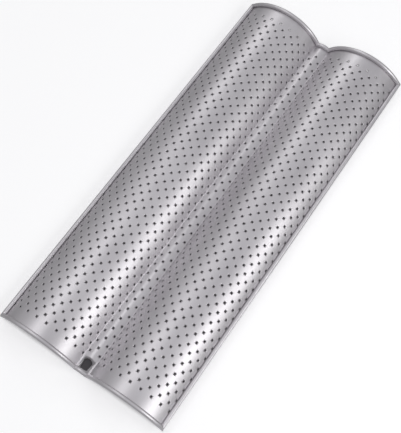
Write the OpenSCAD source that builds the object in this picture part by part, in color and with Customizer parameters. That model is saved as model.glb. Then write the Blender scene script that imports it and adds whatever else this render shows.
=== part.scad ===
// Perforated baguette tray with two channels, as it stands on a table: channels open upwards.
// X runs across the channels, Y along them from the hanging-hole end to the far end, Z is up.
// The origin is under the tray's middle, on the surface that it stands on.

/* [Tray] */
// Length over the two end beads
tray_length = 380; // [300:1:480]
// Width over the two side beads
tray_width = 163.5; // [136:0.5:210]
// Thickness of the sheet
sheet_t = 0.6; // [0.4:0.05:0.8]

/* [Channels] */
// Depth of a channel below the ridge's two creases
channel_depth = 22; // [17:0.5:27]
// Slope of each outer flank, where the channel's round part ends
flank_angle = 46; // [38:1:55]
// Straight stretch of each outer flank, between the round part and the side bead
flank_len = 4; // [3:0.25:8]

/* [Ridge] */
// Width between the two creases of the ridge
ridge_width = 14; // [11:0.5:18]
// Depth of the shallow V along the middle of the ridge
ridge_dip = 2.2; // [1:0.1:3]

/* [Rolled edge] */
// Diameter of the stiffening wires
wire_d = 2.5; // [1.6:0.1:3]
// Radial gap between a wire and the curl round it
wire_clearance = 0.05; // [0.02:0.01:0.1]
// How far the sheet is rolled round the wire
curl_angle = 300; // [270:5:305]

/* [Perforations] */
// Diameter of a perforation
hole_d = 1.6; // [1.2:0.1:2.6]
// Side of the square hole grid, which has a further hole in the middle of each square
hole_pitch = 10; // [8:0.5:13]
// Least distance from the tray's ends to the first and last row
end_margin = 12.5; // [9:0.5:20]
// Least flat metal between a hole and a crease, a bead or the hanging hole
web_min = 0.9; // [0.5:0.1:2]

/* [Hanging hole] */
// Diameter of the hole in the ridge that the tray is hung by
hang_d = 10; // [7:0.5:11]
// Distance from the near end to the hanging hole's centre
hang_inset = 8.75; // [8.5:0.25:14]

/* [Hidden] */

sheet_colour = "#b9b5ba";
wire_colour = "#8e8c90";
round_fn = 180;        // the channels' arcs and the hanging hole
bead_fn = 48;          // the bead's and the wire's round section
hole_fn = 16;          // a perforation
rad = 180 / PI;        // degrees in a radian
wire_sides = 16;       // sides of an end wire, which is a faceted skin
wire_step = 3;         // degrees of the channel's arc between an end wire's rings
reach = tray_width;    // beyond any edge of the end profile, for the cutting wedges
over = 0.5;            // how far a cut runs past the face that it opens
past_crease = 6;       // degrees of arc that the crease's mitre takes up, across the whole bead
seat = 0.002;          // how far the flank's faces lie inside the arc, so that the two join up

// Bead section: the sheet's top face runs tangent into the outer circle of the curl
wire_r = wire_d / 2;
curl_in_r = wire_r + wire_clearance;
curl_r = curl_in_r + sheet_t;

// Heights of the sheet's top face
floor_z = 2 * curl_r;                       // bottom of a channel, over the end beads
crease_z = floor_z + channel_depth;
valley_z = crease_z - ridge_dip;

// Half profile across the tray, for x > 0, along the sheet's top face
half_ridge = ridge_width / 2;
ridge_angle = atan(ridge_dip / half_ridge); // slope of the ridge's two faces
facet_len = norm([half_ridge, ridge_dip]);
rim_x = tray_width / 2 - curl_r * (1 + sin(flank_angle));
// The channel's circle passes the crease, touches the floor, and runs tangent into the flank.
// span is how far across the circle reaches, and lift the mean height of its two ends.
span = rim_x - half_ridge - flank_len * cos(flank_angle);
lift = span * sin(flank_angle) + channel_depth;
chord2 = span * span + channel_depth * channel_depth;
channel_r = chord2 / (lift + sqrt(lift * lift - chord2 * sin(flank_angle) * sin(flank_angle)));
crease_angle = acos(1 - channel_depth / channel_r);
channel_x = half_ridge + channel_r * sin(crease_angle);
centre_z = floor_z + channel_r;
rim_h = channel_r * (1 - cos(flank_angle)) + flank_len * sin(flank_angle); // over the channel's bottom
mitre_angle = (crease_angle - ridge_angle) / 2; // lean of the plane that halves the crease's bend

// Distances along the flat blank, from the ridge's middle
neutral_r = channel_r + sheet_t / 2;
flank_start = facet_len + neutral_r * (crease_angle + flank_angle) / rad;
blank_half = flank_start + flank_len;

// Perforation grid on the flat blank
half_pitch = hole_pitch / 2;
hole_r = hole_d / 2;
rows = floor((tray_length - 2 * end_margin) / half_pitch) + 1;
first_row_y = -(rows - 1) * half_pitch / 2;
last_column = floor((blank_half - web_min - hole_r) / half_pitch);
sheet_end_y = tray_length / 2 - curl_r;     // where the ends' beads begin
hang_y = hang_inset - tray_length / 2;

function row_y(k) = first_row_y + k * half_pitch;
// A column keeps clear of the crease, and a hole keeps clear of the hanging hole
function on_ridge(s) = s < facet_len - hole_r - web_min / 2;
function on_channel(s) = s > facet_len + hole_r + web_min / 2;
function clear_of_hang(s, y) = norm([s, y - hang_y]) > hang_d / 2 + hole_r + web_min;
// Angle round the channel, from its bottom, of a blank distance s
function arc_angle(s) = (s - facet_len) / neutral_r * rad - crease_angle;

// Moves its children from the top face's own frame to distance s on the blank, with Z as the normal
module on_blank(s) {
    if (s < facet_len)
        translate([s * cos(ridge_angle), 0, valley_z + s * sin(ridge_angle)])
            rotate([0, s > 0 ? -ridge_angle : 0, 0]) children();
    else if (s < flank_start)
        translate([channel_x, 0, centre_z]) rotate([0, -arc_angle(s), 0])
            translate([0, 0, -channel_r]) children();
    else
        translate([rim_x, 0, floor_z + rim_h]) rotate([0, -flank_angle, 0])
            translate([s - blank_half, 0, 0]) children();
}

// The punched holes of one column at blank distance s, square to the sheet
module hole_column(n) {
    s = n * half_pitch;
    for (k = [n % 2 : 2 : rows - 1])
        if (clear_of_hang(s, row_y(k)))
            translate([0, row_y(k), -sheet_t - over])
                cylinder(d = hole_d, h = sheet_t + 2 * over, $fn = hole_fn);
}

// A profile drawn as X and height, run along the whole flat length of the sheet
module run_along_sheet() {
    rotate([90, 0, 0]) linear_extrude(2 * sheet_end_y, center = true) children();
}

// One side of the crease's mitre plane, as X and height: side 1 is the channel's, -1 the ridge's
module crease_side(side) {
    translate([half_ridge, crease_z]) rotate(-mitre_angle)
        translate([side > 0 ? 0 : -reach, -reach]) square([reach, 2 * reach]);
}

// Everything above a channel's face at this radius: round, then straight for this length of flank
module trough(radius, length) {
    circle(radius, $fn = round_fn);
    rotate(flank_angle) translate([0, seat - radius]) square([length, radius]);
}

// Section of a channel's sheet, between the crease's mitre and the end of the flank
module channel_section() {
    intersection() {
        translate([channel_x, centre_z]) difference() {
            trough(channel_r + sheet_t, flank_len);
            trough(channel_r, reach);
            rotate(flank_angle) translate([flank_len, -reach]) square([reach, 2 * reach]);
            translate([-reach, 0]) square([2 * reach, reach]);
        }
        crease_side(1);
    }
}

module right_channel() {
    color(sheet_colour) difference() {
        run_along_sheet() channel_section();
        for (n = [1 : last_column])
            if (on_channel(n * half_pitch)) on_blank(n * half_pitch) hole_column(n);
    }
}

module left_channel() {
    mirror([1, 0, 0]) right_channel();
}

// Half of the ridge's section, on the +X side
module ridge_section() {
    intersection() {
        translate([0, valley_z]) rotate(ridge_angle)
            translate([-sheet_t, -sheet_t]) square([facet_len + 2 * sheet_t, sheet_t]);
        crease_side(-1);
        square(reach);
    }
}

module centre_ridge() {
    color(sheet_colour) difference() {
        run_along_sheet() {
            ridge_section();
            mirror([1, 0]) ridge_section();
        }
        for (n = [0 : last_column])
            if (on_ridge(n * half_pitch)) {
                on_blank(n * half_pitch) hole_column(n);
                if (n > 0) mirror([1, 0, 0]) on_blank(n * half_pitch) hole_column(n);
            }
        translate([0, hang_y, valley_z - sheet_t - over])
            cylinder(d = hang_d, h = sheet_t + ridge_dip + 2 * over, $fn = round_fn);
    }
}

// Bead sections. X is the depth below the sheet's top face, Y the way out of the tray,
// and the origin is where the flat sheet ends.
module curl_section() {
    gap_angle = 360 - curl_angle; // left open between the rolled edge and the sheet's underside
    gap = 2 * curl_r;
    translate([curl_r, 0]) difference() {
        circle(curl_r, $fn = bead_fn);
        circle(curl_in_r, $fn = bead_fn);
        rotate(180) polygon([
            [0, 0], [gap, 0], [gap, gap * tan(gap_angle / 2)], gap * [cos(gap_angle), sin(gap_angle)],
        ]);
    }
}

module wire_section() {
    translate([curl_r, 0]) circle(wire_r, $fn = bead_fn);
}

// A bead section run straight along +X, for a sheet whose top face is at height 0
module straight_run(length) {
    rotate([0, 90, 0]) linear_extrude(length) children();
}

// A bead section turned round the channel's axis, from a little past the crease to the flank
module arc_run() {
    rotate([-90, 0, 0]) rotate([0, 0, 90 - flank_angle])
        rotate_extrude(angle = flank_angle + crease_angle + past_crease, $fn = round_fn)
            translate([channel_r, 0]) children();
}

// A profile drawn as X and height, as a slab along Y that holds the whole bead
module slab() {
    rotate([90, 0, 0]) linear_extrude(4 * curl_r, center = true) children();
}

// Moves its children from the outer flank's own frame, with X up the flank and 0 at the rim
module on_flank() {
    translate([rim_x, 0, floor_z + rim_h]) rotate([0, -flank_angle, 0]) children();
}

// A bead section along the far end's ridge face at +X
module end_ridge_face() {
    translate([0, sheet_end_y, 0]) intersection() {
        translate([0, 0, valley_z]) rotate([0, -ridge_angle, 0])
            translate([-2 * curl_r, 0, 0]) straight_run(facet_len + 4 * curl_r) children();
        slab() intersection() {
            crease_side(-1);
            square(reach);
        }
    }
}

// A bead section along the far end's channel at +X, cut by the crease's mitre
module end_arc() {
    translate([0, sheet_end_y, 0]) intersection() {
        translate([channel_x, 0, centre_z]) arc_run() children();
        slab() crease_side(1);
    }
}

// A bead section along the far end's flank at +X, cut at 45 degrees at the corner
module end_flank() {
    translate([0, sheet_end_y, 0]) on_flank() intersection() {
        translate([-flank_len, 0, 0]) straight_run(flank_len + 2 * curl_r) children();
        translate([0, 0, -reach / 2]) linear_extrude(reach)
            polygon([[-reach, -reach], [-reach, reach], [reach, reach]]);
    }
}

// A bead section along the side at +X, cut at 45 degrees at both corners
module side_run() {
    on_flank() intersection() {
        rotate([90, 0, 0]) linear_extrude(tray_length + 2 * curl_r, center = true)
            rotate(-90) children();
        translate([0, 0, -reach / 2]) linear_extrude(reach) polygon([
            [-sheet_end_y, 0], [reach, sheet_end_y + reach], [reach, -sheet_end_y - reach],
        ]);
    }
}

module far_right_curl() {
    color(sheet_colour) end_arc() curl_section();
}

module far_left_curl() {
    mirror([1, 0, 0]) far_right_curl();
}

module near_right_curl() {
    mirror([0, 1, 0]) far_right_curl();
}

module near_left_curl() {
    mirror([0, 1, 0]) far_left_curl();
}

module far_ridge_curl() {
    color(sheet_colour) {
        end_ridge_face() curl_section();
        mirror([1, 0, 0]) end_ridge_face() curl_section();
    }
}

module near_ridge_curl() {
    mirror([0, 1, 0]) far_ridge_curl();
}

module far_right_corner_curl() {
    color(sheet_colour) end_flank() curl_section();
}

module far_left_corner_curl() {
    mirror([1, 0, 0]) far_right_corner_curl();
}

module near_right_corner_curl() {
    mirror([0, 1, 0]) far_right_corner_curl();
}

module near_left_corner_curl() {
    mirror([0, 1, 0]) far_left_corner_curl();
}

module right_side_curl() {
    color(sheet_colour) side_run() curl_section();
}

module left_side_curl() {
    mirror([1, 0, 0]) right_side_curl();
}

module right_side_wire() {
    color(wire_colour) side_run() wire_section();
}

module left_side_wire() {
    mirror([1, 0, 0]) right_side_wire();
}

// One ring of an end wire: where its axis is, the way across it in the profile, and how far
// the ring leans along the flank for a point that is further out. All are X and height.
function ring(axis, across, lean) = [axis, across, lean];
function flipped(r) = [for (v = r) [-v[0], v[1]]];
axis_r = channel_r + curl_r;
half_turn = (crease_angle + ridge_angle) / 2;
mitre_way = [sin(mitre_angle), cos(mitre_angle)];
flank_way = [cos(flank_angle), sin(flank_angle)];
arc_first = past_crease - crease_angle;
arc_rings = ceil((flank_angle - arc_first) / wire_step);
function arc_axis(a) = [channel_x + axis_r * sin(a), centre_z - axis_r * cos(a)];
half_rings = [
    ring([0, valley_z - curl_r / cos(ridge_angle)], [0, 1 / cos(ridge_angle)], [0, 0]),
    ring([half_ridge, crease_z] - curl_r / cos(half_turn) * mitre_way, mitre_way / cos(half_turn), [0, 0]),
    for (i = [0 : arc_rings])
        let (a = arc_first + i * (flank_angle - arc_first) / arc_rings)
            ring(arc_axis(a), [-sin(a), cos(a)], [0, 0]),
    ring(arc_axis(flank_angle) + flank_len * flank_way, [-sin(flank_angle), cos(flank_angle)], flank_way),
];
wire_rings = concat([for (i = [len(half_rings) - 1 : -1 : 1]) flipped(half_rings[i])], half_rings);

// A point of a ring, at angle q from the outermost side
function ring_point(r, q) =
    let (out = wire_r * cos(q), at = r[0] + wire_r * sin(q) * r[1] + out * r[2])
        [at[0], sheet_end_y + out, at[1]];

// The wire along the far end, bent as the profile is and cut at 45 degrees at both corners
module far_end_wire() {
    m = wire_sides;
    last = (len(wire_rings) - 1) * m;
    color(wire_colour) polyhedron(
        points = [for (r = wire_rings) for (j = [0 : m - 1]) ring_point(r, 360 * j / m)],
        faces = [
            [for (j = [0 : m - 1]) j],
            for (i = [0 : m : last - m]) for (j = [0 : m - 1]) let (k = (j + 1) % m)
                each [[i + j, i + m + j, i + m + k], [i + j, i + m + k, i + k]],
            [for (j = [m - 1 : -1 : 0]) last + j],
        ]
    );
}

module near_end_wire() {
    mirror([0, 1, 0]) far_end_wire();
}

left_channel();
right_channel();
centre_ridge();
near_left_curl();
near_right_curl();
near_ridge_curl();
far_left_curl();
far_right_curl();
far_ridge_curl();
near_left_corner_curl();
near_right_corner_curl();
far_left_corner_curl();
far_right_corner_curl();
left_side_curl();
right_side_curl();
left_side_wire();
right_side_wire();
near_end_wire();
far_end_wire();
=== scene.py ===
"""Visual model of the perforated baguette tray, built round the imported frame, in its axes and metres."""
import math

import bpy
import numpy as np
from mathutils import Matrix, Vector


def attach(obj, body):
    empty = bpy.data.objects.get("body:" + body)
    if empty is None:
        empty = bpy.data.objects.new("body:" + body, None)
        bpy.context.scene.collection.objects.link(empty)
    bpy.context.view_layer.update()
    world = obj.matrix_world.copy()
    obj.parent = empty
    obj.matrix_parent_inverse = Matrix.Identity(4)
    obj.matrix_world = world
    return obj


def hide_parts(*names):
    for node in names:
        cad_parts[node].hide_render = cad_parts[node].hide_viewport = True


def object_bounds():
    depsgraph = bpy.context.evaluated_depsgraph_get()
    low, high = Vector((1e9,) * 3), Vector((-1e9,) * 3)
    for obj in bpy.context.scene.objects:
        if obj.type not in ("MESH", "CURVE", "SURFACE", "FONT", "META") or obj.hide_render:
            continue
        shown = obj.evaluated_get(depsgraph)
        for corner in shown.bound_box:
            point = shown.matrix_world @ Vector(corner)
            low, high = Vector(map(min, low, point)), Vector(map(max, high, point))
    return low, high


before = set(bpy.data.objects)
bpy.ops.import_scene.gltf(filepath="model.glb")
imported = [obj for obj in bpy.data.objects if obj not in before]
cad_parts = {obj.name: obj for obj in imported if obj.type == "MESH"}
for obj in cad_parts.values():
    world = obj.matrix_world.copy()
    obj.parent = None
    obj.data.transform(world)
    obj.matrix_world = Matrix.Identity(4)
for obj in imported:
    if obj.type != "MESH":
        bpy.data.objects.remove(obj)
cad_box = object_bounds()

MM = 0.001

# ---------------------------------------------------------------- sizes, in mm, as the part has them
box_lo, box_hi = (np.array(corner) / MM for corner in cad_box)
tray_length = box_hi[1] - box_lo[1]
tray_width = box_hi[0] - box_lo[0]
sheet_t = 0.6
channel_depth = 22.0
flank_angle = math.radians(46.0)
flank_len = 4.0
ridge_width = 14.0
ridge_dip = 2.2
wire_r = 1.25
wire_clearance = 0.05
curl_angle = math.radians(300.0)
hole_r = 0.8
half_pitch = 5.0
end_margin = 12.5
web_min = 0.9
hang_r = 5.0
hang_inset = 8.75

# Bend radii of the pressed sheet's top face, which the part leaves sharp
crease_bend = 1.1
valley_bend = 9.0
least_bend = 0.15               # an end rim's bend never gets tighter than this
mitre_gap = 0.06                # hairline left at a rim corner's mitre

curl_in_r = wire_r + wire_clearance
curl_r = curl_in_r + sheet_t
floor_z = 2 * curl_r
valley_z = floor_z + channel_depth - ridge_dip
half_ridge = ridge_width / 2
ridge_angle = math.atan2(ridge_dip, half_ridge)
facet_len = math.hypot(half_ridge, ridge_dip)
rim_x = tray_width / 2 - curl_r * (1 + math.sin(flank_angle))
span = rim_x - half_ridge - flank_len * math.cos(flank_angle)
lift = span * math.sin(flank_angle) + channel_depth
chord2 = span * span + channel_depth * channel_depth
channel_r = chord2 / (lift + math.sqrt(lift * lift - chord2 * math.sin(flank_angle)**2))
crease_angle = math.acos(1 - channel_depth / channel_r)
channel_x = half_ridge + channel_r * math.sin(crease_angle)
centre_z = floor_z + channel_r
rim_h = channel_r * (1 - math.cos(flank_angle)) + flank_len * math.sin(flank_angle)
neutral_r = channel_r + sheet_t / 2
flank_start = facet_len + neutral_r * (crease_angle + flank_angle)
blank_half = flank_start + flank_len
sheet_end_y = tray_length / 2 - curl_r
hang_y = hang_inset - tray_length / 2
rows = int((tray_length - 2 * end_margin) // half_pitch) + 1
first_row_y = -(rows - 1) * half_pitch / 2
last_column = int((blank_half - web_min - hole_r) // half_pitch)


# ---------------------------------------------------------------- the sheet's section
def bezier(p0, t0, p1, t1, turn, tangent_len, u):
    """Points and directions of a bend of the given turn between two tangent points."""
    radius = tangent_len / math.tan(turn / 2)
    handle = 4 / 3 * math.tan(turn / 4) * radius
    a, b, c, d = p0, p0 + handle * t0, p1 - handle * t1, p1
    v = 1 - u
    point = v**3 * a + 3 * v * v * u * b + 3 * v * u * u * c + u**3 * d
    slope = 3 * v * v * (b - a) + 6 * v * u * (c - b) + 3 * u * u * (d - c)
    return point, slope / np.linalg.norm(slope)


def sharp_section(s):
    """Top-face point and direction at blank distance s >= 0, with sharp bends."""
    if s < facet_len:
        way = np.array([math.cos(ridge_angle), math.sin(ridge_angle)])
        return np.array([0, valley_z]) + s * way, way
    if s < flank_start:
        turn = (s - facet_len) / neutral_r - crease_angle
        way = np.array([math.cos(turn), math.sin(turn)])
        return np.array([channel_x + channel_r * math.sin(turn), centre_z - channel_r * math.cos(turn)]), way
    way = np.array([math.cos(flank_angle), math.sin(flank_angle)])
    return np.array([rim_x, floor_z + rim_h]) + (s - blank_half) * way, way


CREASE_TURN = crease_angle + ridge_angle
CREASE_REACH = crease_bend * math.tan(CREASE_TURN / 2)
VALLEY_REACH = valley_bend * math.tan(ridge_angle)


def section(s):
    """Top-face point (x, z) and normal at a signed blank distance, with rounded bends."""
    side = -1 if s < 0 else 1
    a = abs(s)
    if a < VALLEY_REACH:
        p1, t1 = sharp_section(VALLEY_REACH)
        p0 = p1 * np.array([-1, 1])
        t0 = t1 * np.array([1, -1])
        point, way = bezier(p0, t0, p1, t1, 2 * ridge_angle, VALLEY_REACH, 0.5 + a / VALLEY_REACH / 2)
    elif abs(a - facet_len) < CREASE_REACH:
        p0, t0 = sharp_section(facet_len - CREASE_REACH)
        p1, t1 = sharp_section(facet_len + CREASE_REACH)
        u = (a - facet_len + CREASE_REACH) / (2 * CREASE_REACH)
        point, way = bezier(p0, t0, p1, t1, CREASE_TURN, CREASE_REACH, u)
    else:
        point, way = sharp_section(a)
    return np.array([side * point[0], point[1]]), np.array([-side * way[1], way[0]])


# ---------------------------------------------------------------- mesh making
def make_object(name, verts, faces, normals, material, nodes):
    """A piece from vertices in mm, faces, and one normal for each face corner."""
    mesh = bpy.data.meshes.new(name)
    mesh.from_pydata((np.asarray(verts) * MM).tolist(), [], faces)
    mesh.shade_smooth()
    if normals is not None:
        mesh.normals_split_custom_set(normals)
    mesh.materials.append(material)
    piece = bpy.data.objects.new(name, mesh)
    bpy.context.scene.collection.objects.link(piece)
    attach(piece, "root")
    if nodes:
        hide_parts(*nodes)
    return piece


block = 1.5                     # half the side of the square of mesh round a perforation
block_lines = (-block, -block / 2, 0, block / 2, block)
# The square's border, as steps of the grid lines from its middle, counter-clockwise
block_border = [(2, 0), (2, 1), (2, 2), (1, 2), (0, 2), (-1, 2), (-2, 2), (-2, 1), (-2, 0), (-2, -1),
                (-2, -2), (-1, -2), (0, -2), (1, -2), (2, -2), (2, -1)]
hang_block = 6.7                # half the side of the square of mesh round the hanging hole
edge_margin = 0.05              # no grid line lies nearer than this to a zone's border


def grid_lines(centres, low, high, extra):
    """Sorted grid lines: five about every centre, the two borders and some more."""
    lines = {round(low, 6), round(high, 6)}
    for centre in centres:
        for step in block_lines:
            if low + edge_margin < centre + step < high - edge_margin:
                lines.add(round(centre + step, 6))
    for value in extra:
        lines.add(round(value, 6))
    return np.array(sorted(lines))


def near(lines, value):
    """The number of the grid line nearest to a value."""
    return int(np.argmin(abs(lines - value)))


def perforated_sheet(name, columns, low, high, extra, material, node):
    """A closed sheet of one zone, with its holes, bent from the flat blank."""
    row_ys = [first_row_y + k * half_pitch for k in range(rows)]
    lines_s = grid_lines([n * half_pitch for n in columns], low, high, extra)
    lines_y = grid_lines(row_ys, -sheet_end_y, sheet_end_y, ())
    verts, owner = [], []
    index = {}

    def add(s, y, top):
        key = (round(s, 5), round(y, 5), top)
        if key not in index:
            point, normal = section(s)
            depth = 0 if top else sheet_t
            p = point - depth * normal
            index[key] = len(verts)
            verts.append((p[0], y, p[1]))
            owner.append(normal)
        return index[key]

    holes = []
    for n in columns:
        for k in range(rows):
            if (k - n) % 2 == 0:
                s, y = n * half_pitch, row_ys[k]
                if math.hypot(s, y - hang_y) > hang_r + hole_r + web_min:
                    holes.append((s, y))
    taken = set()
    for s, y in holes:
        i0, j0 = near(lines_s, s - block), near(lines_y, y - block)
        for i in range(4):
            for j in range(4):
                taken.add((i0 + i, j0 + j))
    hang = low < 0 < high
    if hang:
        i_lo, i_hi = near(lines_s, -hang_block), near(lines_s, hang_block)
        j_lo, j_hi = 0, near(lines_y, hang_y + hang_block)
        for i in range(i_lo, i_hi):
            for j in range(j_lo, j_hi):
                taken.add((i, j))
    faces, loop_normals = [], []

    def face(ids, normals):
        faces.append(ids)
        loop_normals.extend(normals)

    def skin(points):
        """The same polygon on the top face and, turned over, on the underside."""
        top = [add(s, y, True) for s, y in points]
        face(top, [(owner[v][0], 0, owner[v][1]) for v in top])
        under = [add(s, y, False) for s, y in points][::-1]
        face(under, [(-owner[v][0], 0, -owner[v][1]) for v in under])

    def wall(a, b, out):
        ids = [add(*a, True), add(*b, True), add(*b, False), add(*a, False)]
        face(ids, [out[0], out[1], out[1], out[0]])

    for i in range(len(lines_s) - 1):
        for j in range(len(lines_y) - 1):
            if (i, j) not in taken:
                s0, s1, y0, y1 = lines_s[i], lines_s[i + 1], lines_y[j], lines_y[j + 1]
                skin([(s0, y0), (s1, y0), (s1, y1), (s0, y1)])

    def ring_of(s, y, border, radius):
        """Joins a border loop of blank points to a round hole, and lines the hole."""
        count = len(border)
        angles = [math.atan2(by - y, bs - s) for bs, by in border]
        loop = [(s + radius * math.cos(a), y + radius * math.sin(a)) for a in angles]
        for m in range(count):
            q = (m + 1) % count
            skin([loop[m], border[m], border[q], loop[q]])
            _, normal = section(loop[m][0])
            tangent = (normal[1], -normal[0])
            outs = []
            for a in (angles[q], angles[m]):
                outs.append((-math.cos(a) * tangent[0], -math.sin(a), -math.cos(a) * tangent[1]))
            wall(loop[q], loop[m], outs)

    for s, y in holes:
        i0, j0 = near(lines_s, s), near(lines_y, y)
        border = [(lines_s[i0 + a], lines_y[j0 + b]) for a, b in block_border]
        ring_of(s, y, border, hole_r)
    if hang:
        border = [(lines_s[i], lines_y[j_lo]) for i in range(i_lo, i_hi)]
        border += [(lines_s[i_hi], lines_y[j]) for j in range(j_lo, j_hi)]
        border += [(lines_s[i], lines_y[j_hi]) for i in range(i_hi, i_lo, -1)]
        border += [(lines_s[i_lo], lines_y[j]) for j in range(j_hi, j_lo, -1)]
        ring_of(0, hang_y, border, hang_r)

    for j in range(len(lines_y) - 1):
        for s, sign in ((lines_s[0], -1), (lines_s[-1], 1)):
            _, normal = section(s)
            out = (sign * normal[1], 0, -sign * normal[0])
            first, last = (j, j + 1) if sign < 0 else (j + 1, j)
            wall((s, lines_y[first]), (s, lines_y[last]), (out, out))
    for i in range(len(lines_s) - 1):
        for y, sign in ((lines_y[0], -1), (lines_y[-1], 1)):
            first, last = (i + 1, i) if sign < 0 else (i, i + 1)
            wall((lines_s[first], y), (lines_s[last], y), ((0, sign, 0), (0, sign, 0)))
    return make_object(name, verts, faces, loop_normals, material, [node])


# ---------------------------------------------------------------- rolled rim
def rim_profile():
    """The curl's section as (depth, out, depth normal, out normal), once round the strip of sheet."""
    steps, tip_steps = 24, 4
    mid_r = (curl_r + curl_in_r) / 2
    angles = [math.pi - curl_angle * e / steps for e in range(steps + 1)]
    profile = []
    for a in angles:
        profile.append((curl_r + curl_r * math.cos(a), curl_r * math.sin(a), math.cos(a), math.sin(a)))
    tip_cos, tip_sin = math.cos(angles[-1]), math.sin(angles[-1])
    for e in range(1, tip_steps):
        b = math.pi * e / tip_steps
        radial, along = math.cos(b), math.sin(b)
        down = tip_cos * radial + tip_sin * along
        out = tip_sin * radial - tip_cos * along
        depth_place = curl_r + mid_r * tip_cos + sheet_t / 2 * down
        profile.append((depth_place, mid_r * tip_sin + sheet_t / 2 * out, down, out))
    for a in reversed(angles):
        depth_place = curl_r + curl_in_r * math.cos(a)
        profile.append((depth_place, curl_in_r * math.sin(a), -math.cos(a), -math.sin(a)))
    return profile


def half_path(depth, out):
    """Points (x, z) and top-face normals of an end rim's line at this depth, from the middle outwards."""
    cos_r, sin_r = math.cos(ridge_angle), math.sin(ridge_angle)
    way = np.array([cos_r, sin_r])
    valley = np.array([0, valley_z - depth / cos_r])
    centre = np.array([channel_x, centre_z])
    big = channel_r + depth
    rel = valley - centre
    half_b = float(rel @ way)
    root = -half_b - math.sqrt(half_b**2 - float(rel @ rel) + big * big)
    corner = valley + root * way
    start_turn = math.asin((corner[0] - channel_x) / big)
    turn = ridge_angle - start_turn
    bend = max(crease_bend - depth, least_bend)
    cut = bend * math.tan(turn / 2)
    valley_cut = (valley_bend + depth) * math.tan(ridge_angle)
    line = []
    p1 = valley + valley_cut * way
    valley_steps, facet_steps, crease_steps, arc_steps, flank_steps = 4, 6, 8, 56, 6
    p0, t0 = p1 * np.array([-1, 1]), way * np.array([1, -1])
    for e in range(valley_steps):
        u = 0.5 + e / valley_steps / 2
        p, t = bezier(p0, t0, p1, way, 2 * ridge_angle, valley_cut, u)
        line.append((p, t))
    length = root - cut - valley_cut
    for e in range(facet_steps):
        line.append((p1 + way * length * e / facet_steps, way))
    p0 = corner - cut * way
    turn1 = start_turn + cut / big
    p2 = centre + big * np.array([math.sin(turn1), -math.cos(turn1)])
    t2 = np.array([math.cos(turn1), math.sin(turn1)])
    for e in range(crease_steps + 1):
        line.append(bezier(p0, way, p2, t2, turn, cut, e / crease_steps))
    for e in range(1, arc_steps + 1):
        a = turn1 + (flank_angle - turn1) * e / arc_steps
        way = np.array([math.cos(a), math.sin(a)])
        line.append((centre + big * np.array([way[1], -way[0]]), way))
    way = np.array([math.cos(flank_angle), math.sin(flank_angle)])
    foot_point = line[-1][0]
    for e in range(1, flank_steps + 1):
        line.append((foot_point + way * (flank_len + out - mitre_gap) * e / flank_steps, way))
    return [(p, np.array([-t[1], t[0]])) for p, t in line]


def flat_normal(verts, ids):
    """The normal of a face, from its first three corners."""
    a, b, c = (np.array(verts[v]) for v in ids[:3])
    flat = np.cross(b - a, c - b)
    return tuple(flat / (np.linalg.norm(flat) or 1))


def sweep(name, stations, material, nodes):
    """Closes a tube of sheet from section loops: stations[i][j] is a point and a normal."""
    count, around = len(stations), len(stations[0])
    verts = [p for ring in stations for p, _ in ring]
    normals = [n for ring in stations for _, n in ring]
    faces, loop_normals = [], []
    for i in range(count - 1):
        for j in range(around):
            k = (j + 1) % around
            ids = [i * around + j, i * around + k, (i + 1) * around + k, (i + 1) * around + j]
            faces.append(ids)
            if k == 0:
                loop_normals.extend([flat_normal(verts, ids)] * 4)
            else:
                loop_normals.extend([normals[v] for v in ids])
    half = around // 2
    for ring, turned in ((0, True), (count - 1, False)):
        base = ring * around
        for j in range(half):
            ids = [base + j, base + j + 1, base + around - 2 - j, base + around - 1 - j]
            ids = list(dict.fromkeys(ids))
            if len(ids) < 3:
                continue
            if turned:
                ids = ids[::-1]
            faces.append(ids)
            loop_normals.extend([flat_normal(verts, ids)] * len(ids))
    return make_object(name, verts, faces, loop_normals, material, nodes)


def end_rim(name, end, material, nodes):
    """The rolled rim along the near (-1) or far (1) end."""
    profile = rim_profile()
    lines = [half_path(d, o) for d, o, _, _ in profile]
    count = len(lines[0])
    order = [(-1, i) for i in range(count - 1, 0, -1)] + [(1, i) for i in range(count)]
    stations = []
    for side, i in order:
        ring = []
        for (d, o, nd, no), line in zip(profile, lines):
            (x, z), n = line[i]
            ring.append(((side * x, end * (sheet_end_y + o), z), (-side * n[0] * nd, end * no, -n[1] * nd)))
        stations.append(ring)
    if end > 0:
        stations = stations[::-1]
    return sweep(name, stations, material, nodes)


def side_rim(name, side, material, nodes):
    """The rolled rim along the left (-1) or right (1) side."""
    profile = rim_profile()
    way = np.array([math.cos(flank_angle), math.sin(flank_angle)])
    up = np.array([-way[1], way[0]])
    steps = 60
    stations = []
    for e in range(steps + 1):
        ring = []
        for d, o, nd, no in profile:
            p = np.array([rim_x, floor_z + rim_h]) + o * way - d * up
            n = no * way - nd * up
            y = (2 * e / steps - 1) * (sheet_end_y + o - mitre_gap)
            ring.append(((side * p[0], y, p[1]), (side * n[0], 0, n[1])))
        stations.append(ring)
    if side < 0:
        stations = stations[::-1]
    return sweep(name, stations, material, nodes)


# ---------------------------------------------------------------- materials
def new_material(name):
    """An empty node material and its tree."""
    material = bpy.data.materials.new(name)
    material.use_nodes = True
    tree = material.node_tree
    tree.nodes.clear()
    return material, tree


def node(tree, kind, **values):
    """A new shader node with its sockets or properties set by name."""
    made = tree.nodes.new(kind)
    for key, value in values.items():
        if key in made.inputs:
            made.inputs[key].default_value = value
        else:
            setattr(made, key, value)
    return made


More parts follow.
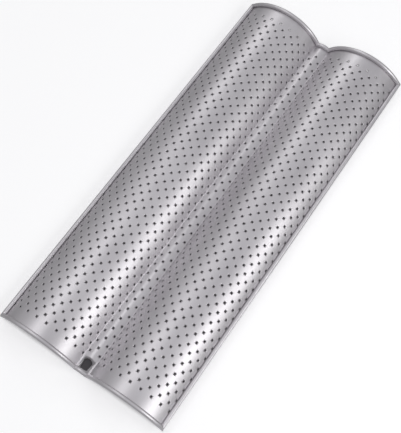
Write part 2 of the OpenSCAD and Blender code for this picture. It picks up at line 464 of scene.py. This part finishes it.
def noise(tree, coord, scale, detail, rough, stretch=(1, 1, 1)):
    """Noise over object coordinates, in metres."""
    mapping = node(tree, "ShaderNodeMapping")
    mapping.inputs["Scale"].default_value = stretch
    tree.links.new(coord, mapping.inputs["Vector"])
    made = node(tree, "ShaderNodeTexNoise", Scale=scale, Detail=detail, Roughness=rough)
    tree.links.new(mapping.outputs["Vector"], made.inputs["Vector"])
    return made.outputs["Fac"]


def ramp(tree, value, low, high, lo_colour, hi_colour):
    """A colour that goes from one to the other as the value goes from low to high."""
    mix = node(tree, "ShaderNodeMix", data_type="RGBA")
    tree.links.new(spread(tree, value, low, high, 0.0, 1.0), mix.inputs["Factor"])
    mix.inputs["A"].default_value = lo_colour
    mix.inputs["B"].default_value = hi_colour
    return mix.outputs["Result"]


def spread(tree, value, low, high, out_low, out_high):
    """The value's range low to high mapped to another range, and held at its ends."""
    made = node(tree, "ShaderNodeMapRange", clamp=True)
    for key, number in (("From Min", low), ("From Max", high), ("To Min", out_low), ("To Max", out_high)):
        made.inputs[key].default_value = number
    tree.links.new(value, made.inputs["Value"])
    return made.outputs["Result"]


def satin_metal(name, low, high, rough, grain, wave):
    """Satin coated steel: slow mottling, fine metallic grain, a slightly uneven pressed surface."""
    material, tree = new_material(name)
    coord = node(tree, "ShaderNodeTexCoord").outputs["Object"]
    shader = node(tree, "ShaderNodeBsdfPrincipled", Metallic=1.0)
    out = node(tree, "ShaderNodeOutputMaterial")
    tree.links.new(shader.outputs["BSDF"], out.inputs["Surface"])
    mottle = noise(tree, coord, 28, 4, 0.55, (1.6, 0.7, 1.6))
    tree.links.new(ramp(tree, mottle, 0.32, 0.70, low, high), shader.inputs["Base Color"])
    fine = noise(tree, coord, 1500, 2, 0.6)
    slow = noise(tree, coord, 14, 2, 0.5, (1, 0.6, 1))
    mix = node(tree, "ShaderNodeMath", operation="ADD")
    tree.links.new(spread(tree, fine, 0.3, 0.7, rough - 0.03, rough + 0.03), mix.inputs[0])
    tree.links.new(spread(tree, slow, 0.3, 0.7, -0.03, 0.03), mix.inputs[1])
    tree.links.new(mix.outputs[0], shader.inputs["Roughness"])
    bumps = node(tree, "ShaderNodeBump", Strength=grain, Distance=0.00004)
    tree.links.new(fine, bumps.inputs["Height"])
    waves = node(tree, "ShaderNodeBump", Strength=wave, Distance=0.0006)
    tree.links.new(noise(tree, coord, 22, 1.5, 0.4, (1, 0.45, 1)), waves.inputs["Height"])
    tree.links.new(bumps.outputs["Normal"], waves.inputs["Normal"])
    tree.links.new(waves.outputs["Normal"], shader.inputs["Normal"])
    return material


SATIN_DARK = (0.62, 0.60, 0.62, 1)
SATIN_LIGHT = (0.72, 0.70, 0.72, 1)
sheet_material = satin_metal("sheet_satin", SATIN_DARK, SATIN_LIGHT, 0.42, 0.25, 0.30)
rim_material = satin_metal("rim_satin", SATIN_DARK, SATIN_LIGHT, 0.40, 0.25, 0.15)
wire_material = satin_metal("wire_drawn", (0.42, 0.41, 0.42, 1), (0.55, 0.54, 0.55, 1), 0.42, 0.35, 0.05)

# ---------------------------------------------------------------- pieces
crease_lines = [facet_len + CREASE_REACH * step for step in (-0.72, -0.46, -0.22, 0.22, 0.46, 0.72)]
edge_lines = [blank_half - 0.9, blank_half - 0.45]
channel_columns = list(range(2, last_column + 1))
channel_extra = [v for v in crease_lines if v > facet_len] + edge_lines
perforated_sheet("right_channel_sheet", channel_columns, facet_len, blank_half,
                 channel_extra, sheet_material, "right_channel")
perforated_sheet("left_channel_sheet", [-n for n in channel_columns], -blank_half, -facet_len,
                 [-v for v in channel_extra], sheet_material, "left_channel")
ridge_inner = [v for v in crease_lines if v < facet_len] + [0.78 * VALLEY_REACH, VALLEY_REACH]
perforated_sheet("centre_ridge_sheet", [-1, 0, 1], -facet_len, facet_len,
                 ridge_inner + [-v for v in ridge_inner], sheet_material, "centre_ridge")

for end, word in ((-1, "near"), (1, "far")):
    zones = ["left_curl", "right_curl", "ridge_curl", "left_corner_curl", "right_corner_curl"]
    end_rim(word + "_rolled_rim", end, rim_material, [word + "_" + zone for zone in zones])
for side, word in ((-1, "left"), (1, "right")):
    side_rim(word + "_rolled_rim", side, rim_material, [word + "_side_curl"])

for name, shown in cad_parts.items():
    if name.endswith("wire"):
        shown.data.materials.clear()
        shown.data.materials.append(wire_material)


# ---------------------------------------------------------------- stage, light and camera
def floor_material(name, colour, glow, paints_shadow=False):
    """A pale floor that shows only from its front: its back lets everything through.

    With a painted shadow, the floor is painted dark over the tray's outline and loses its glow there, fading
    out at its border.
    """
    material, tree = new_material(name)
    coord = node(tree, "ShaderNodeTexCoord").outputs["Object"]
    pale = tuple(min(1, v + 0.01) for v in colour[:3]) + (1,)
    tone = ramp(tree, noise(tree, coord, 3, 2, 0.5), 0.3, 0.7, colour, pale)
    shader = node(tree, "ShaderNodeBsdfPrincipled", Roughness=0.9)
    shader.inputs["Specular IOR Level"].default_value = 0.0
    shader.inputs["Emission Color"].default_value = (1, 1, 1, 1)
    shader.inputs["Emission Strength"].default_value = glow
    # Painted shadow: over the tray's outline the colour goes nearly black and the glow goes out, fading back
    # at the border
    if paints_shadow:
        split = node(tree, "ShaderNodeSeparateXYZ")
        tree.links.new(coord, split.inputs["Vector"])
        painted_shadow_fade = 5
        outside = []
        for axis, half in (("X", tray_width / 2), ("Y", tray_length / 2)):
            away = node(tree, "ShaderNodeMath", operation="ABSOLUTE")
            tree.links.new(split.outputs[axis], away.inputs[0])
            outside.append(spread(tree, away.outputs[0], (half - painted_shadow_fade) * MM, half * MM, 0.0, 1.0))
        more = node(tree, "ShaderNodeMath", operation="MAXIMUM")
        tree.links.new(outside[0], more.inputs[0])
        tree.links.new(outside[1], more.inputs[1])
        mix = node(tree, "ShaderNodeMix", data_type="RGBA")
        tree.links.new(more.outputs[0], mix.inputs["Factor"])
        # nearly black: the painted shadow's colour
        mix.inputs["A"].default_value = (0.10, 0.095, 0.10, 1)
        tree.links.new(tone, mix.inputs["B"])
        tone = mix.outputs["Result"]
        # the glow is held at nought under the tray, part of the same painted shadow
        tree.links.new(spread(tree, more.outputs[0], 0, 1, 0, glow), shader.inputs["Emission Strength"])
    tree.links.new(tone, shader.inputs["Base Color"])
    clear = node(tree, "ShaderNodeBsdfTransparent")
    side = node(tree, "ShaderNodeNewGeometry")
    mix = node(tree, "ShaderNodeMixShader")
    out = node(tree, "ShaderNodeOutputMaterial")
    tree.links.new(side.outputs["Backfacing"], mix.inputs["Fac"])
    tree.links.new(shader.outputs["BSDF"], mix.inputs[1])
    tree.links.new(clear.outputs["BSDF"], mix.inputs[2])
    tree.links.new(mix.outputs["Shader"], out.inputs["Surface"])
    return material


def stage_plane(name, height, facing, material):
    """A large square floor at a height, facing up (1) or down (-1), which only the camera sees."""
    half = 3.0
    corners = [(-half, -half), (half, -half), (half, half), (-half, half)][::facing]
    mesh = bpy.data.meshes.new(name)
    mesh.from_pydata([(x, y, height) for x, y in corners], [], [(0, 1, 2, 3)])
    mesh.materials.append(material)
    plane = bpy.data.objects.new(name, mesh)
    bpy.context.scene.collection.objects.link(plane)
    plane.visible_shadow = False
    plane.visible_diffuse = False
    plane.visible_glossy = False
    return plane


FLOOR_CLEARANCE = 0.0002
BACKDROP_CLEARANCE = 0.0004
floor_pale = floor_material("floor_pale", (0.80, 0.80, 0.80, 1), 0.12)
# this backdrop carries a painted shadow over the tray's outline
pale_backdrop_with_painted_shadow = floor_material("pale_backdrop_with_painted_shadow", (0.85, 0.85, 0.85, 1), 0.35, True)
stage_plane("floor_below", -FLOOR_CLEARANCE, 1, floor_pale)
stage_plane("floor_above", box_hi[2] * MM + BACKDROP_CLEARANCE, -1, pale_backdrop_with_painted_shadow)


def area_light(name, place, target, size, power):
    """A white softbox that faces its target, its length along the tray."""
    data = bpy.data.lights.new(name, "AREA")
    data.shape = "RECTANGLE"
    data.size, data.size_y = size
    data.energy = power
    made = bpy.data.objects.new(name, data)
    made.location = place
    z_axis = (Vector(place) - Vector(target)).normalized()
    x_axis = Vector((0, 1, 0)).cross(z_axis).normalized()
    y_axis = z_axis.cross(x_axis)
    turn = Matrix((x_axis, y_axis, z_axis)).transposed()
    made.rotation_mode = "QUATERNION"
    made.rotation_quaternion = turn.to_quaternion()
    bpy.context.scene.collection.objects.link(made)
    return made


def ring_place(angle, reach, y=0.0):
    """A place below the tray, at this angle from straight down, positive towards +X."""
    a = math.radians(angle)
    return (reach * math.sin(a), y, -reach * math.cos(a))


area_light("strip_left", ring_place(-56, 0.75, -0.02), (0, 0.0, 0.01), (0.26, 0.75), 1.5)
area_light("strip_right", ring_place(21, 0.85, -0.08), (0, 0.02, 0.01), (0.26, 0.45), 0.55)
area_light("strip_right_far", ring_place(37, 0.85, 0.70), (0, 0.1, 0.01), (0.30, 0.5), 0.62)
area_light("top_left", (-0.8, -0.3, 0.9), (0, 0, 0), (0.5, 1.4), 5)
area_light("top_right", (0.7, 0.2, 1.1), (0, 0, 0), (0.6, 1.4), 5)

world = bpy.data.worlds.new("studio")
bpy.context.scene.world = world
world.use_nodes = True
sky = world.node_tree
sky_way = node(sky, "ShaderNodeTexCoord").outputs["Generated"]
split = node(sky, "ShaderNodeSeparateXYZ")
sky.links.new(sky_way, split.inputs["Vector"])
curve = node(sky, "ShaderNodeValToRGB")
stops = curve.color_ramp
stops.interpolation = "EASE"
stops.elements[0].position, stops.elements[0].color = 0.0, (0.58, 0.58, 0.60, 1)
stops.elements[1].position, stops.elements[1].color = 1.0, (0.62, 0.62, 0.64, 1)
for place, level in ((0.25, 0.50), (0.48, 0.30), (0.62, 0.42)):
    stop = stops.elements.new(place)
    stop.color = (level, level, level * 1.02, 1)
sky.links.new(spread(sky, split.outputs["Z"], -1.0, 1.0, 0.0, 1.0), curve.inputs["Fac"])
sky.links.new(curve.outputs["Color"], sky.nodes["Background"].inputs["Color"])
sky.nodes["Background"].inputs["Strength"].default_value = 1.0

camera_data = bpy.data.cameras.new("camera")
camera_data.lens = 67.296              # with the place and directions below, fitted to the photograph's view
camera_data.sensor_width = 36.0
camera_data.clip_start = 0.01
camera_data.clip_end = 50
camera = bpy.data.objects.new("camera", camera_data)
forward = Vector((0.23133, 0.3296, 0.91534)).normalized()
up = Vector((0.51482, 0.75686, -0.40264)).normalized()
right = forward.cross(up).normalized()
up = right.cross(forward)
camera.matrix_world = Matrix.Translation(Vector((-0.164691, -0.25365, -0.617712))) @ Matrix(
    (right, up, -forward)).transposed().to_4x4()
bpy.context.scene.collection.objects.link(camera)
bpy.context.scene.camera = camera
bpy.context.scene.view_settings.view_transform = "Standard"
